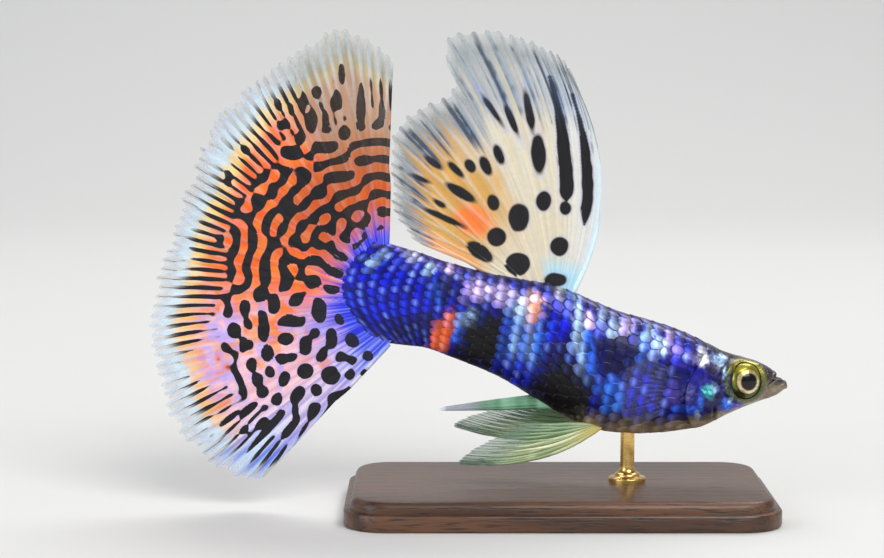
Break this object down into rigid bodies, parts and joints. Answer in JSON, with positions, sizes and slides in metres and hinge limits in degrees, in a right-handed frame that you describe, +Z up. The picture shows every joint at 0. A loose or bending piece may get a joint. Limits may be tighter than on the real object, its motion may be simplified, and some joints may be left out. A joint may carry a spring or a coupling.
{
  "type": "fancy guppy",
  "caption": "Life-size male fancy guppy with a wide fan tail and a tall swept dorsal fin, swimming head-down on a rod and plinth stand.",
  "frame": {"origin": "centre of the stand base's underside", "axes": "+X towards the fish's head, +Y towards its left side, +Z up"},
  "size_m": [0.0446, 0.017, 0.0337],
  "materials": {
    "skin": "wet iridescent scales, deep blue to silver and olive",
    "eye": "wet, gold iris round a black pupil",
    "patterned_fin": "satin web, orange and cream with black spots and blue rays",
    "clear_fin": "clear web with pale rays",
    "stand_wood": "dark, satin",
    "stand_brass": "satin"
  },
  "bodies": {
    "root": {"head": "skin", "trunk": "skin", "tail_stalk": "skin", "eye_left": "eye", "eye_right": "eye", "tail_fin": "patterned_fin", "dorsal_fin": "patterned_fin", "pectoral_fin_left": "clear_fin", "pectoral_fin_right": "clear_fin", "pelvic_fin_left": "clear_fin", "pelvic_fin_right": "clear_fin", "anal_fin": "clear_fin", "stand_base": "stand_wood", "stand_rod": "stand_brass"}
  },
  "joints": []
}
